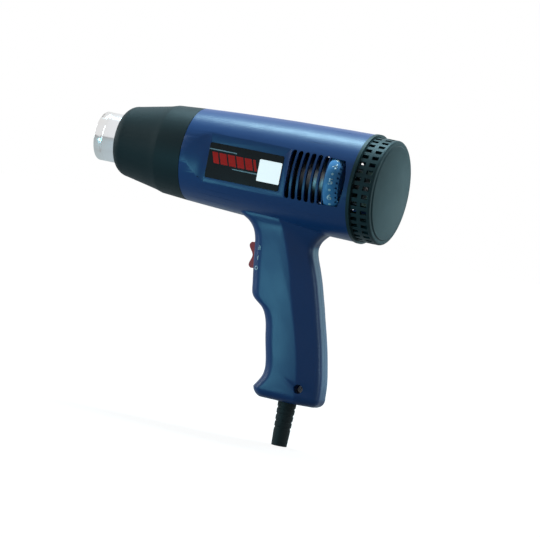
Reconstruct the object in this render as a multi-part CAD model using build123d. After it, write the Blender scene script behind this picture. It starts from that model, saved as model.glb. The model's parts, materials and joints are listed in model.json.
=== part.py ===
from build123d import *
import math
import os

os.makedirs("parts", exist_ok=True)

# Pistol-grip hot-air tool, in millimetres.
# The nozzle points along -X, +Z is up, and the photographed left side faces -Y.
# The origin lies inside the hand grip, where the palm closes round it.
# Places along the barrel are given as distances ahead of a datum plane near its rear end.

# Frame
barrel_height = 115.0
datum_x = 60.0

# Fits and walls
shell_wall = 2.5
slip_gap = 0.2
running_gap = 0.04
seat_gap = 0.3
overrun = 6.0
parting_gap = 0.2

# Barrel of the housing
cap_joint = 17.5
shroud_joint = 163.0
barrel_front_radius = 37.0
barrel_rear_radius = 42.5
barrel_crown = 0.9
front_spigot_length = 15.0
front_spigot_radius = 34.0
front_spigot_wall = 2.2
rear_spigot_length = 3.0
rear_spigot_radius = 38.2
rear_spigot_wall = 2.2

# Flat panels on the two sides of the barrel
panel_front = 141.0
panel_rear = 71.0
panel_half_height = 19.0
panel_front_slope = 17.0
panel_rear_slope = 1.5
panel_cutter_reach = 12.0

# Grip, from the barrel axis down to the foot
grip_drop = 175.0
grip_run = 80.0
grip_rear_offset = 20.0
grip_half_width = 18.0
grip_front_half_width = 16.4
grip_rear_half_width = 9.5
grip_front_round = 11.0
grip_crease_round = 7.0
grip_rear_round = 7.5
foot_round = 5.0
foot_soft = 1.2

# Each row: drop below the axis, front, rear and crease places, and half width,
# as shares of grip_drop, grip_run and grip_half_width
grip_station_shares = [
    (0.194, 1.225, 0.150, 0.725, 1.08),
    (0.234, 1.106, 0.262, 0.680, 1.03),
    (0.266, 1.030, 0.335, 0.640, 1.00),
    (0.303, 0.992, 0.372, 0.603, 1.00),
    (0.371, 0.966, 0.336, 0.544, 1.00),
    (0.457, 0.940, 0.263, 0.481, 1.00),
    (0.530, 0.915, 0.213, 0.436, 1.00),
    (0.560, 0.898, 0.192, 0.414, 1.00),
    (0.580, 0.860, 0.180, 0.400, 1.00),
    (0.602, 0.790, 0.167, 0.386, 1.00),
    (0.634, 0.735, 0.146, 0.362, 1.00),
    (0.731, 0.679, 0.086, 0.294, 1.00),
    (0.834, 0.628, 0.035, 0.238, 1.00),
    (0.891, 0.623, 0.014, 0.216, 1.00),
    (0.926, 0.655, 0.008, 0.208, 1.00),
    (0.960, 0.704, 0.004, 0.200, 1.00),
]
cavity_top_share = 0.16
foot_soft_shares = (0.985, 0.690, 0.004, 0.200, 1.00)
foot_plane_shares = (1.000, 0.690, 0.004, 0.200, 1.00)

# Vent slots in both sides of the barrel
vent_count = 6
vent_first = 68.0
vent_pitch = 5.57
vent_width = 3.8
vent_half_height = 19.0

# Heat dial, a thumbwheel on the left
dial_place = 31.0
dial_thickness = 11.6
dial_radius = 24.0
dial_front_radius = 23.2
dial_rear_radius = 21.6
dial_crest_share = 0.35
dial_offset = 21.6
dial_gap = 0.6
dial_shaft_radius = 3.0
dial_shaft_front = 35.5
dial_shaft_rear = 8.0
dial_knurls = 36
dial_knurl_depth = 0.6
dial_knurl_radius = 0.9
dial_knurl_length = 2.4
scoop_length = 3.6
scoop_depth = 3.6

# Control board and its potentiometer
board_place = 17.5
board_thickness = 1.6
board_half_height = 15.0
board_outer_reach = 32.0
board_inner_reach = 6.0
pot_radius = 8.0
pot_length = 6.0
rail_length = 5.0
rail_height = 5.0
rail_outer_reach = 38.5
rail_inner_reach = 22.0

# Front shroud
shroud_front = 227.5
shroud_wall = 2.4
shroud_collar_end = 186.0
shroud_collar_radius = 35.3
shroud_neck_start = 192.0
shroud_neck_radius = 33.6
shroud_nose_start = 219.5
shroud_nose_radius = 28.3
shroud_corner_mid_place = 225.3
shroud_corner_mid_radius = 26.0
shroud_face_radius = 23.5
shroud_mouth_radius = 21.2
shroud_rib_count = 6
shroud_rib_length = 22.0
shroud_rib_thickness = 2.0

# Nozzle tube
nozzle_tip = 247.0
nozzle_rear = 128.0
nozzle_radius = 19.5
nozzle_wall = 0.8
nozzle_shoulder = 0.2
nozzle_shoulder_place = 228.3
nozzle_groove_place = 240.5
nozzle_groove_half = 1.0
nozzle_groove_depth = 0.5
nozzle_body_radius = nozzle_radius - nozzle_shoulder

# Heating element
mica_front = 236.0
mica_rear = 131.5
mica_wall = 1.3
former_front = 230.0
former_rear = 134.0
former_radius = 12.7
vane_thickness = 1.2
vane_count = 3
coil_front = 226.0
coil_turns = 9
coil_pitch = 9.2
coil_radius = 13.7
coil_wire_radius = 0.75
base_thickness = 2.5
base_hole_count = 6
base_hole_radius = 3.0
base_hole_circle = 11.5
cutout_radius = 4.5
cutout_length = 5.0
cutout_tab_length = 3.0
cutout_tab_width = 2.4
cutout_tab_thickness = 0.8

# Fan duct
duct_front = 140.0
duct_throat = 122.0
duct_ring_front = 98.0
duct_ring_rear = 72.0
duct_wall = 1.7
duct_ring_radius = 32.6
spoke_count = 3
spoke_width = 5.0
hub_plate_thickness = 3.0
hub_plate_radius = 18.0
duct_rib_width = 2.0
duct_rib_places = (95.0, 75.5)

# Fan
fan_front = 92.0
fan_rear = 78.0
fan_hub_radius = 6.5
fan_tip_gap = 0.9
blade_count = 7
blade_thickness = 1.4
blade_twist = 38.0
blade_tip_twist_share = 1.6
blade_length_share = 0.9
blade_root_sink = 1.0

# Motor
motor_front = 70.8
motor_length = 28.0
motor_radius = 18.0
motor_wall = 1.5
motor_face = 2.0
motor_shaft_radius = 2.0
shaft_front = 95.0
shaft_rear = 38.2
bearing_radius = 4.0
bearing_length = 4.0
boss_radius = 5.5
boss_length = 2.6
magnet_inner_radius = 13.4
magnet_half_angle = 62.0
armature_radius = 12.8
armature_front = 65.5
armature_rear = 52.0
armature_slots = 5
armature_slot_width = 3.0
armature_core_radius = 5.0
commutator_radius = 5.5
commutator_front = 50.5
commutator_rear = 45.5
commutator_cuts = 5
commutator_cut_width = 0.6
brush_gap = 0.1
brush_width = 4.0
brush_length = 6.0
motor_screw_circle = 10.5
motor_screw_radius = 1.3
motor_screw_head_radius = 2.5
motor_screw_head_height = 1.8
motor_screw_length = 6.0

# Rear cap
cap_face_behind = 2.6
cap_wall = 2.8
cap_flange_height = 1.9
cap_flange_length = 2.9
cap_plate = 3.2
cap_corner = 1.6
cap_disc_inset = 4.6
cap_rim_step = 0.8
cap_window_count = 40
cap_window_width = 3.3
cap_window_length = 5.2
cap_front_window = 14.1
cap_rear_window = 5.9
cap_tongue_count = 4
cap_tongue_width = 10.0
cap_tongue_thickness = 2.0
cap_tongue_front = 24.4

# Switch and rocker, in the switch's own frame: depth into the grip, and height
switch_drop = 68.0
switch_slope_span = 24.0
switch_half_height = 13.0
switch_half_width = 7.8
switch_depth = 19.0
switch_set_back = 0.9
switch_pocket_depth = 6.8
window_half_height = 11.3
window_half_width = 6.0
terminal_length = 6.0
terminal_width = 6.3
terminal_thickness = 0.8
terminal_pitch = 8.0
rocker_half_height = 10.2
rocker_half_width = 5.5
rocker_pivot_depth = 4.5
rocker_peak = 5.2
rocker_valley = 2.4
rocker_shoulder = 3.4
rocker_peak_share = 0.80
rocker_skirt_depth = 4.0
rocker_hub_radius = 3.4
rocker_pin_radius = 1.4
rocker_pin_length = 1.4

# Cord sleeve, clamp and foot
sleeve_place = 48.5
sleeve_bore_radius = 3.9
sleeve_root_radius = 7.4
sleeve_tip_radius = 6.15
sleeve_length = 35.0
sleeve_flange_radius = 9.5
sleeve_flange_thickness = 3.0
sleeve_ring_count = 4
sleeve_ring_depth = 0.5
sleeve_ring_width = 1.6
sleeve_ring_pitch = 5.2
shelf_thickness = 2.0
clamp_drop = 148.0
clamp_post_spacing = 17.0
clamp_post_radius = 3.4
clamp_width = 8.0
clamp_thickness = 3.5
clamp_saddle_depth = 0.8
clamp_screw_radius = 1.2
clamp_screw_head_radius = 2.4
clamp_screw_head_height = 1.6
clamp_screw_reach = 8.0

# Housing screws: distance ahead of the rear face, drop below the axis, side of the head
housing_screw_places = [
    (35.5, 162.6, -1),
    (62.0, 104.0, 1),
    (150.0, 27.0, 1),
    (150.0, -27.0, 1),
]
screw_boss_radius = 4.6
screw_radius = 1.5
screw_head_radius = 3.0
screw_head_height = 2.2
screw_head_seat = 7.0
screw_reach = 9.0
screw_recess_radius = 3.5
screw_cross_width = 0.8
screw_cross_span = 3.4
screw_cross_depth = 1.2

# Label plate on the left panel
label_front = 140.5
label_rear = 76.0
label_half_height = 13.75
label_drop = 1.75
label_thickness = 0.8
label_recess = 0.5
label_gap = 0.2
label_corner = 1.5

# Helpers

barrel_axis = Axis((0, 0, barrel_height), (1, 0, 0))


def ahead(distance):
    """X of a place this far ahead of the rear face."""
    return datum_x - distance


def below(drop):
    """Z of a place this far below the barrel axis."""
    return barrel_height - drop


def keep(shape, name):
    """Write one piece, or one group of like pieces, as its own file."""
    shape.label = name
    export_step(shape, os.path.join("parts", name + ".step"))
    return shape


def group(pieces):
    """Like pieces that share one file."""
    return Compound(children=list(pieces))


def turned(outline):
    """A body of revolution about the barrel axis, from (distance ahead, radius) points."""
    points = [(ahead(place), 0, barrel_height + radius) for place, radius in outline]
    return revolve(make_face(Polyline(*points, close=True)), barrel_axis)


def rod_along_barrel(front, rear, radius, offset_y=0, offset_z=0):
    """A round bar parallel to the barrel."""
    middle = Plane(origin=(ahead(front), offset_y, barrel_height + offset_z), z_dir=(1, 0, 0))
    return extrude(middle * Circle(radius), front - rear)


def block(x_from, x_to, y_from, y_to, z_from, z_to):
    """A rectangular block between two corners."""
    size = (abs(x_to - x_from), abs(y_to - y_from), abs(z_to - z_from))
    centre = ((x_from + x_to) / 2, (y_from + y_to) / 2, (z_from + z_to) / 2)
    return Pos(*centre) * Box(*size)


def cross_rod(place, drop, y_from, y_to, radius):
    """A round bar along Y."""
    start = Plane(origin=(ahead(place), y_from, below(drop)), z_dir=(0, 1, 0))
    return extrude(start * Circle(radius), y_to - y_from)


def around_barrel(shape, count):
    """Equally spaced copies of a shape about the barrel axis."""
    step = 360 / count
    return [shape.rotate(barrel_axis, step * number) for number in range(count)]


def barrel_radius_at(place):
    """Outer radius of the barrel, slightly crowned between its two ends."""
    share = (shroud_joint - place) / (shroud_joint - cap_joint)
    line = barrel_front_radius + (barrel_rear_radius - barrel_front_radius) * share
    return line + barrel_crown * 4 * share * (1 - share)


def grip_face_share(column, drop):
    """Place of the grip's front (1), rear (2) or crease (3) at a drop, between two stations."""
    rows = grip_station_shares
    share = drop / grip_drop
    for upper, lower in zip(rows, rows[1:]):
        if upper[0] <= share <= lower[0]:
            part = (share - upper[0]) / (lower[0] - upper[0])
            return upper[column] + part * (lower[column] - upper[column])
    return rows[-1][column]


def grip_place(column, drop):
    """The same place as a distance ahead of the rear face."""
    return grip_rear_offset + grip_run * grip_face_share(column, drop)


# Housing: barrel and grip

def barrel_core(inset):
    """Crowned barrel between its two joints, drawn in by an inset."""
    middle = (shroud_joint + cap_joint) / 2
    places = (shroud_joint - inset, middle, cap_joint + inset)
    rim = [(ahead(place), 0, barrel_height + barrel_radius_at(place) - inset) for place in places]
    front_foot = (rim[0][0], 0, barrel_height)
    rear_foot = (rim[2][0], 0, barrel_height)
    edges = [
        Line(front_foot, rim[0]),
        ThreePointArc(*rim),
        Line(rim[2], rear_foot),
        Line(rear_foot, front_foot),
    ]
    return revolve(make_face(edges), barrel_axis)


def spigot(start, end, radius):
    return rod_along_barrel(max(start, end), min(start, end), radius)


def panel_depth_at(place):
    """Distance of the flat panel from the middle plane."""
    return math.sqrt(barrel_radius_at(place) ** 2 - panel_half_height ** 2)


def panel_cutter(side, inset):
    """What the flat takes off one side of the barrel, or leaves off its cavity when inset."""
    far = barrel_rear_radius + panel_cutter_reach
    slope_start = panel_front + panel_front_slope
    outline = [
        (ahead(slope_start + inset), barrel_radius_at(slope_start) - inset),
        (ahead(panel_front), panel_depth_at(panel_front) - inset),
        (ahead(panel_rear), panel_depth_at(panel_rear) - inset),
        (ahead(panel_rear - panel_rear_slope - inset), barrel_radius_at(panel_rear)),
        (ahead(panel_rear - panel_rear_slope - inset), far),
        (ahead(slope_start + inset), far),
    ]
    height = panel_half_height + overrun
    points = [(x, side * y, below(height)) for x, y in outline]
    return extrude(make_face(Polyline(*points, close=True)), 2 * height, dir=(0, 0, 1))


def grip_section(row, inset, side):
    """One level slice of half the grip: rounded front, soft crease, tapered rear."""
    drop, front, rear, crease, width = row
    level = below(drop * grip_drop)
    x_front = ahead(grip_rear_offset + grip_run * front) + inset
    x_rear = ahead(grip_rear_offset + grip_run * rear) - inset
    x_crease = ahead(grip_rear_offset + grip_run * crease)
    middle = side * parting_gap / 2
    corners = [
        (x_front, middle, level),
        (x_front, side * (grip_front_half_width * width - inset), level),
        (x_crease, side * (grip_half_width * width - inset), level),
        (x_rear, side * (grip_rear_half_width * width - inset), level),
        (x_rear, middle, level),
    ]
    face = make_face(Polyline(*corners, close=True))
    rounds = (grip_front_round - inset, grip_crease_round, grip_rear_round - inset)
    for corner, radius in zip(corners[1:4], rounds):
        face = fillet(face.vertices().sort_by_distance(corner)[0], radius)
    return face


def grip_body(side):
    """Half the grip's outside, from within the barrel down to its rounded foot."""
    faces = [grip_section(row, 0, side) for row in grip_station_shares]
    foot = loft([
        faces[-1],
        grip_section(foot_soft_shares, foot_soft, side),
        grip_section(foot_plane_shares, foot_round, side),
    ])
    return loft(faces) + foot


def grip_cavity(side):
    """Half the hollow of the grip, one wall inside its outer face, open into the barrel."""
    top = (cavity_top_share,) + grip_station_shares[0][1:]
    floor = (1 - shell_wall / grip_drop,) + grip_station_shares[-2][1:]
    rows = [top] + grip_station_shares[1:-1] + [floor]
    return loft([grip_section(row, shell_wall, side) for row in rows])


def barrel_cavity():
    """The hollow of the barrel, with the flats' inner faces and the bores of the spigots."""
    hollow = barrel_core(shell_wall)
    for side in (-1, 1):
        hollow -= panel_cutter(side, shell_wall)
    front_bore = front_spigot_radius - front_spigot_wall
    rear_bore = rear_spigot_radius - rear_spigot_wall
    hollow += spigot(
        shroud_joint + front_spigot_length + overrun,
        shroud_joint - shell_wall - seat_gap,
        front_bore,
    )
    hollow += spigot(
        cap_joint + shell_wall + seat_gap,
        cap_joint - rear_spigot_length - overrun,
        rear_bore,
    )
    return hollow


def switch_frame():
    """The switch's own frame: X runs into the grip, square to its sloping front face."""
    upper = grip_place(1, switch_drop - switch_slope_span / 2)
    lower = grip_place(1, switch_drop + switch_slope_span / 2)
    slope = math.degrees(math.atan2(upper - lower, switch_slope_span))
    middle = (ahead((upper + lower) / 2), 0, below(switch_drop))
    return Location(middle, (0, -slope, 0))


def in_switch_frame(shape):
    return switch_frame() * shape


dial_axis = Axis((0, -dial_offset, barrel_height), (1, 0, 0))


def turned_about_dial(outline):
    """A body of revolution about the dial's axis, from (distance ahead, radius) points."""
    points = [(ahead(place), -dial_offset, barrel_height + radius) for place, radius in outline]
    return revolve(make_face(Polyline(*points, close=True)), dial_axis)


def dial_window():
    """Clear room round the thumbwheel, with a finger scoop behind it."""
    front = dial_place + dial_thickness / 2 + dial_gap
    rear = dial_place - dial_thickness / 2 - dial_gap
    reach = dial_radius + dial_gap
    return turned_about_dial([
        (front, 0),
        (front, reach),
        (rear, reach),
        (rear - scoop_length, reach - scoop_depth),
        (rear - scoop_length, 0),
    ])


def board_rails():
    """Two slotted rails on the left wall that take the board's edges."""
    rails = []
    for side in (-1, 1):
        z_middle = barrel_height + side * board_half_height
        rails.append(block(
            ahead(board_place + rail_length / 2), ahead(board_place - rail_length / 2),
            -rail_outer_reach, -rail_inner_reach,
            z_middle - rail_height / 2, z_middle + rail_height / 2,
        ))
    return rails


def board_slot():
    half = board_thickness / 2 + slip_gap
    return block(
        ahead(board_place + half), ahead(board_place - half),
        -board_outer_reach - slip_gap, board_inner_reach,
        barrel_height - board_half_height - slip_gap,
        barrel_height + board_half_height + slip_gap,
    )


def duct_ribs():
    """Two ring ribs on the barrel's inner wall that the duct's ring rests in."""
    ribs = []
    for place in duct_rib_places:
        half = duct_rib_width / 2
        outer = barrel_radius_at(place) - shell_wall / 2
        inner = duct_ring_radius + slip_gap
        ring = turned([
            (place + half, inner), (place + half, outer),
            (place - half, outer), (place - half, inner),
        ])
        ribs.append(ring)
    return ribs


def sleeve_shelf():
    """A floor above the sleeve's flange that keeps it from pulling out."""
    drop_top = grip_drop - shell_wall - sleeve_flange_thickness - seat_gap - shelf_thickness
    reach = sleeve_flange_radius + shelf_thickness
    shelf = block(
        ahead(sleeve_place + reach), ahead(sleeve_place - reach),
        -grip_half_width, grip_half_width,
        below(drop_top + shelf_thickness), below(drop_top),
    )
    hole = Pos(ahead(sleeve_place), 0, below(drop_top)) * Cylinder(
        sleeve_bore_radius + seat_gap, 2 * overrun
    )
    return shelf - hole


def clamp_post_places():
    half = clamp_post_spacing / 2
    return (sleeve_place - half, sleeve_place + half)


def side_keeper(side):
    """The space on one side of the parting plane."""
    low, high = sorted((side * parting_gap / 2, side * (barrel_rear_radius + overrun)))
    return block(
        ahead(shroud_joint + front_spigot_length + overrun), ahead(0), low, high,
        below(grip_drop + overrun), below(-barrel_rear_radius - overrun),
    )


def housing_outside(side):
    """Half the barrel with its flat and spigots, and half the grip."""
    core = barrel_core(0) - panel_cutter(side, 0)
    core += spigot(
        shroud_joint + front_spigot_length, shroud_joint - shell_wall, front_spigot_radius
    )
    core += spigot(cap_joint + shell_wall, cap_joint - rear_spigot_length, rear_spigot_radius)
    return (core & side_keeper(side)) + grip_body(side)


def housing_supports():
    """What the moulding carries inside: ribs, shelf, rails, screw bosses and clamp posts."""
    pieces = duct_ribs() + board_rails() + [sleeve_shelf()]
    for place, drop, side in housing_screw_places:
        pieces.append(
            cross_rod(place, drop, -barrel_rear_radius, barrel_rear_radius, screw_boss_radius)
        )
    for place in clamp_post_places():
        pieces.append(cross_rod(
            place, clamp_drop, sleeve_bore_radius - clamp_saddle_depth,
            grip_half_width, clamp_post_radius,
        ))
    return pieces


def screw_cutters(place, drop, side):
    """Clearance hole and head recess on one side, pilot hole on the other."""
    def span(from_y, to_y, radius):
        low, high = sorted((side * from_y, side * to_y))
        return cross_rod(place, drop, low, high, radius)
    return [
        span(0, screw_head_seat, screw_radius + slip_gap),
        span(-screw_reach - slip_gap, 0, screw_radius + running_gap),
        span(screw_head_seat, barrel_rear_radius, screw_recess_radius),
    ]


def vent_cutters():
    """The slots of both sides, each cut short of the barrel's middle."""
    cutters = []
    for number in range(vent_count):
        centre = vent_first - number * vent_pitch
        for side in (-1, 1):
            slot = Plane(
                origin=(ahead(centre), side * (barrel_rear_radius + overrun), barrel_height),
                x_dir=(0, 0, 1), z_dir=(0, -side, 0),
            ) * SlotOverall(2 * vent_half_height, vent_width)
            cutters.append(extrude(slot, 2 * overrun + shell_wall))
    return cutters


def foot_cutters():
    """Hole for the sleeve's neck and the pocket of its flange."""
    neck_length = shell_wall + 2 * slip_gap + overrun
    neck = Pos(
        ahead(sleeve_place), 0, below(grip_drop - shell_wall - slip_gap + neck_length / 2)
    ) * Cylinder(sleeve_root_radius + slip_gap, neck_length)
    pocket = Pos(
        ahead(sleeve_place), 0,
        below(grip_drop - shell_wall - (sleeve_flange_thickness + seat_gap) / 2),
    ) * Cylinder(sleeve_flange_radius + slip_gap, sleeve_flange_thickness + seat_gap)
    return [neck, pocket]


def housing_cutters():
    """Every hole, slot and window of the moulding."""
    cutters = vent_cutters() + foot_cutters() + [dial_window(), board_slot()]
    for place, drop, side in housing_screw_places:
        cutters += screw_cutters(place, drop, side)
    for place in clamp_post_places():
        cutters.append(cross_rod(
            place, clamp_drop, 0, clamp_screw_reach + slip_gap, clamp_screw_radius + running_gap
        ))
    cutters.append(in_switch_frame(block(
        -overrun, 2 * shell_wall, -window_half_width, window_half_width,
        -window_half_height, window_half_height,
    )))
    return cutters


def housing_half(side):
    """One half of the moulding, just off the middle plane."""
    outside = housing_outside(side)
    supports = [outside & piece for piece in housing_supports()]
    supports = [piece for piece in supports if piece.volume > 0]
    shell = outside - barrel_cavity() - grip_cavity(side)
    return shell + supports - housing_cutters()


def label_frame():
    """The label's frame: X towards the rear along the left panel, Z out of it."""
    middle = (label_front + label_rear) / 2
    rise = panel_depth_at(panel_rear) - panel_depth_at(panel_front)
    run = panel_front - panel_rear
    angle = math.atan2(rise, run)
    depth = panel_depth_at(panel_front) + rise * (panel_front - middle) / run
    return Plane(
        origin=(ahead(middle), -depth, below(label_drop)),
        x_dir=(math.cos(angle), -math.sin(angle), 0),
        z_dir=(-math.sin(angle), -math.cos(angle), 0),
    )


def label_solid(grow, depth, height):
    """A rounded plate on the left panel, from a depth below it to a height above it."""
    length = label_front - label_rear + 2 * grow
    sketch = RectangleRounded(length, 2 * label_half_height + 2 * grow, label_corner + grow)
    frame = label_frame()
    return extrude(frame * Pos(0, 0, -depth) * sketch, depth + height)


housing_left = housing_half(-1) - label_solid(label_gap, label_recess, overrun)
housing_right = housing_half(1)
keep(housing_left, "housing_left")
keep(housing_right, "housing_right")
keep(label_solid(0, label_recess, label_thickness - label_recess), "label_plate")


# Front shroud

def front_shroud():
    """Nose moulding: flared collar, tapered nose, rounded lip and ribs that hold the tube."""
    joint = shroud_joint + seat_gap
    outer = [
        (joint, front_spigot_radius + slip_gap),
        (joint, barrel_front_radius),
        (shroud_collar_end, shroud_collar_radius),
        (shroud_neck_start, shroud_neck_radius),
        (shroud_nose_start, shroud_nose_radius),
    ]
    inner = [
        (shroud_front, shroud_mouth_radius),
        (shroud_front - shroud_wall, shroud_mouth_radius),
        (shroud_nose_start, shroud_nose_radius - shroud_wall),
        (shroud_neck_start, shroud_neck_radius - shroud_wall),
        (shroud_collar_end, shroud_collar_radius - shroud_wall),
        (shroud_joint + front_spigot_length + seat_gap, front_spigot_radius + slip_gap),
    ]
    def spot(place, radius):
        return (ahead(place), 0, barrel_height + radius)
    outer_spots = [spot(*point) for point in outer]
    inner_spots = [spot(*point) for point in inner]
    lip = ThreePointArc(
        outer_spots[-1],
        spot(shroud_corner_mid_place, shroud_corner_mid_radius),
        spot(shroud_front, shroud_face_radius),
    )
    edges = [
        Polyline(*outer_spots),
        lip,
        Polyline(spot(shroud_front, shroud_face_radius), *inner_spots, outer_spots[0]),
    ]
    body = revolve(make_face(edges), barrel_axis)
    collar_ring = body.edges().filter_by(GeomType.CIRCLE).filter_by_position(
        Axis.X, ahead(shroud_neck_start) - slip_gap, ahead(shroud_collar_end) + slip_gap
    ).sort_by(SortBy.RADIUS)[-2:]
    body = fillet(collar_ring, shroud_wall)
    rib_front = shroud_front - shroud_wall / 2
    rib = turned([
        (rib_front, nozzle_body_radius + slip_gap),
        (rib_front, shroud_face_radius),
        (shroud_nose_start, shroud_nose_radius - shroud_wall / 2),
        (shroud_front - shroud_rib_length, shroud_nose_radius),
        (shroud_front - shroud_rib_length, nozzle_body_radius + slip_gap),
    ]) & block(
        ahead(shroud_front), ahead(shroud_front - shroud_rib_length - overrun),
        -shroud_rib_thickness / 2, shroud_rib_thickness / 2,
        barrel_height, barrel_height + barrel_rear_radius,
    )
    for blade in around_barrel(rib, shroud_rib_count):
        body += blade
    return body


keep(front_shroud(), "front_shroud")


# Nozzle tube and heating element

def nozzle_tube():
    """Thin steel tube with a rounded rim, a rolled groove and a shoulder at the mouth."""
    bore = nozzle_radius - nozzle_wall
    rim_back = nozzle_tip - nozzle_wall / 2
    groove_front = nozzle_groove_place + nozzle_groove_half
    groove_rear = nozzle_groove_place - nozzle_groove_half
    def spot(place, radius):
        return (ahead(place), 0, barrel_height + radius)
    edges = [
        Polyline(
            spot(rim_back, bore), spot(nozzle_rear, bore), spot(nozzle_rear, nozzle_body_radius),
            spot(nozzle_shoulder_place, nozzle_body_radius),
            spot(nozzle_shoulder_place, nozzle_radius), spot(groove_rear, nozzle_radius),
        ),
        ThreePointArc(
            spot(groove_rear, nozzle_radius),
            spot(nozzle_groove_place, nozzle_radius - nozzle_groove_depth),
            spot(groove_front, nozzle_radius),
        ),
        Line(spot(groove_front, nozzle_radius), spot(rim_back, nozzle_radius)),
        ThreePointArc(
            spot(rim_back, nozzle_radius),
            spot(nozzle_tip, bore + nozzle_wall / 2),
            spot(rim_back, bore),
        ),
    ]
    return revolve(make_face(edges), barrel_axis)


keep(nozzle_tube(), "nozzle_tube")

mica_radius = nozzle_radius - nozzle_wall - slip_gap
mica_bore = mica_radius - mica_wall
keep(
    turned([
        (mica_front, mica_bore), (mica_front, mica_radius),
        (mica_rear, mica_radius), (mica_rear, mica_bore),
    ]),
    "mica_sleeve",
)


def heater_former():
    """Crossed mica cards that carry the coil."""
    card = block(
        ahead(former_front), ahead(former_rear), -vane_thickness / 2, vane_thickness / 2,
        barrel_height - former_radius, barrel_height + former_radius,
    )
    former = card
    for number in range(1, vane_count):
        former += card.rotate(barrel_axis, 180 / vane_count * number)
    return former


def heater_coil():
    """One unbroken helix of resistance wire, as a run of half turns."""
    def on_coil(half_turns):
        angle = math.pi * half_turns
        return (
            ahead(coil_front - coil_pitch * half_turns / 2),
            coil_radius * math.sin(angle),
            barrel_height + coil_radius * math.cos(angle),
        )
    arcs = []
    for number in range(2 * coil_turns):
        arcs.append(ThreePointArc(
            on_coil(number), on_coil(number + 1 / 2), on_coil(number + 1)
        ))
    path = Wire(arcs)
    start = Plane(origin=path @ 0, z_dir=path % 0)
    return sweep(start * Circle(coil_wire_radius), path=path)


keep(heater_former(), "heater_former")
keep(heater_coil(), "heater_coil")
coil_gap = coil_pitch - 2 * coil_wire_radius
print("heater coil: least gap between turns", round(coil_gap, 2), "mm")


def heater_base():
    """Ceramic disc behind the element, with air holes."""
    front = former_rear - slip_gap
    disc = rod_along_barrel(front, front - base_thickness, mica_bore - slip_gap)
    hole = rod_along_barrel(
        former_rear + overrun, former_rear - overrun, base_hole_radius, 0, base_hole_circle
    )
    for drill in around_barrel(hole, base_hole_count):
        disc -= drill
    return disc


keep(heater_base(), "heater_base")


def thermal_cutout():
    """Small bimetal can with two tabs, seated on the back of the base."""
    front = former_rear - 2 * slip_gap - base_thickness
    rear = front - cutout_length
    can = rod_along_barrel(front, rear, cutout_radius)
    for side in (-1, 1):
        middle = side * cutout_radius / 2
        can += block(
            ahead(rear), ahead(rear - cutout_tab_length),
            middle - cutout_tab_thickness / 2, middle + cutout_tab_thickness / 2,
            barrel_height - cutout_tab_width / 2, barrel_height + cutout_tab_width / 2,
        )
    return can


keep(thermal_cutout(), "thermal_cutout")


# Fan duct, fan and motor

def fan_duct():
    """Ring round the fan, cone to the heater, and a spoked plate that holds the motor."""
    spigot_bore = nozzle_body_radius + slip_gap
    ring_bore = duct_ring_radius - duct_wall
    shell_of_duct = turned([
        (duct_front, spigot_bore), (duct_throat, spigot_bore),
        (duct_ring_front, ring_bore), (duct_ring_rear, ring_bore),
        (duct_ring_rear, duct_ring_radius), (duct_ring_front, duct_ring_radius),
        (duct_throat, spigot_bore + duct_wall), (duct_front, spigot_bore + duct_wall),
    ])
    plate_front = motor_front + hub_plate_thickness
    plate = rod_along_barrel(plate_front, motor_front, hub_plate_radius)
    spoke = block(
        ahead(plate_front), ahead(motor_front),
        -spoke_width / 2, spoke_width / 2,
        barrel_height, barrel_height + duct_ring_radius - duct_wall / 2,
    )
    for arm in around_barrel(spoke, spoke_count):
        plate += arm
    plate += turned([
        (plate_front, ring_bore), (plate_front, duct_ring_radius),
        (motor_front, duct_ring_radius), (motor_front, ring_bore),
    ])
    plate -= rod_along_barrel(plate_front + overrun, motor_front - overrun, boss_radius + slip_gap)
    for y_side in (-1, 1):
        plate -= rod_along_barrel(
            plate_front + overrun, motor_front - overrun,
            motor_screw_radius + slip_gap, y_side * motor_screw_circle,
        )
    return shell_of_duct + plate


keep(fan_duct(), "fan_duct")


def motor_screw(y_side):
    seat = motor_front + hub_plate_thickness
    offset = y_side * motor_screw_circle
    screw = rod_along_barrel(
        seat + motor_screw_head_height, seat, motor_screw_head_radius, offset
    )
    return screw + rod_along_barrel(seat, seat - motor_screw_length, motor_screw_radius, offset)


keep(group(motor_screw(side) for side in (-1, 1)), "motor_screws")


def fan_blade(angle):
    """One twisted blade, lofted from its root to its tip."""
    tip = duct_ring_radius - duct_wall - fan_tip_gap
    length = (fan_front - fan_rear) * blade_length_share
    root_level = barrel_height + fan_hub_radius - blade_root_sink
    middle = ahead((fan_front + fan_rear) / 2)
    sections = []
    tip_twist = blade_twist * blade_tip_twist_share
    for level, turn in ((root_level, blade_twist), (barrel_height + tip, tip_twist)):
        plane = Plane(origin=(middle, 0, level), x_dir=(1, 0, 0), z_dir=(0, 0, 1))
        reach = length / math.cos(math.radians(blade_twist)) * math.cos(math.radians(turn))
        sections.append(plane * Rot(0, 0, turn) * Rectangle(reach, blade_thickness))
    return loft(sections).rotate(barrel_axis, angle)


def fan():
    wheel = rod_along_barrel(fan_front, fan_rear, fan_hub_radius)
    for number in range(blade_count):
        wheel += fan_blade(360 / blade_count * number)
    limit = turned([
        (fan_front, 0), (fan_front, duct_ring_radius - duct_wall - fan_tip_gap),
        (fan_rear, duct_ring_radius - duct_wall - fan_tip_gap), (fan_rear, 0),
    ])
    wheel &= limit
    return wheel - rod_along_barrel(shaft_front + overrun, fan_rear - overrun, motor_shaft_radius)


keep(fan(), "fan")

motor_rear = motor_front - motor_length


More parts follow.
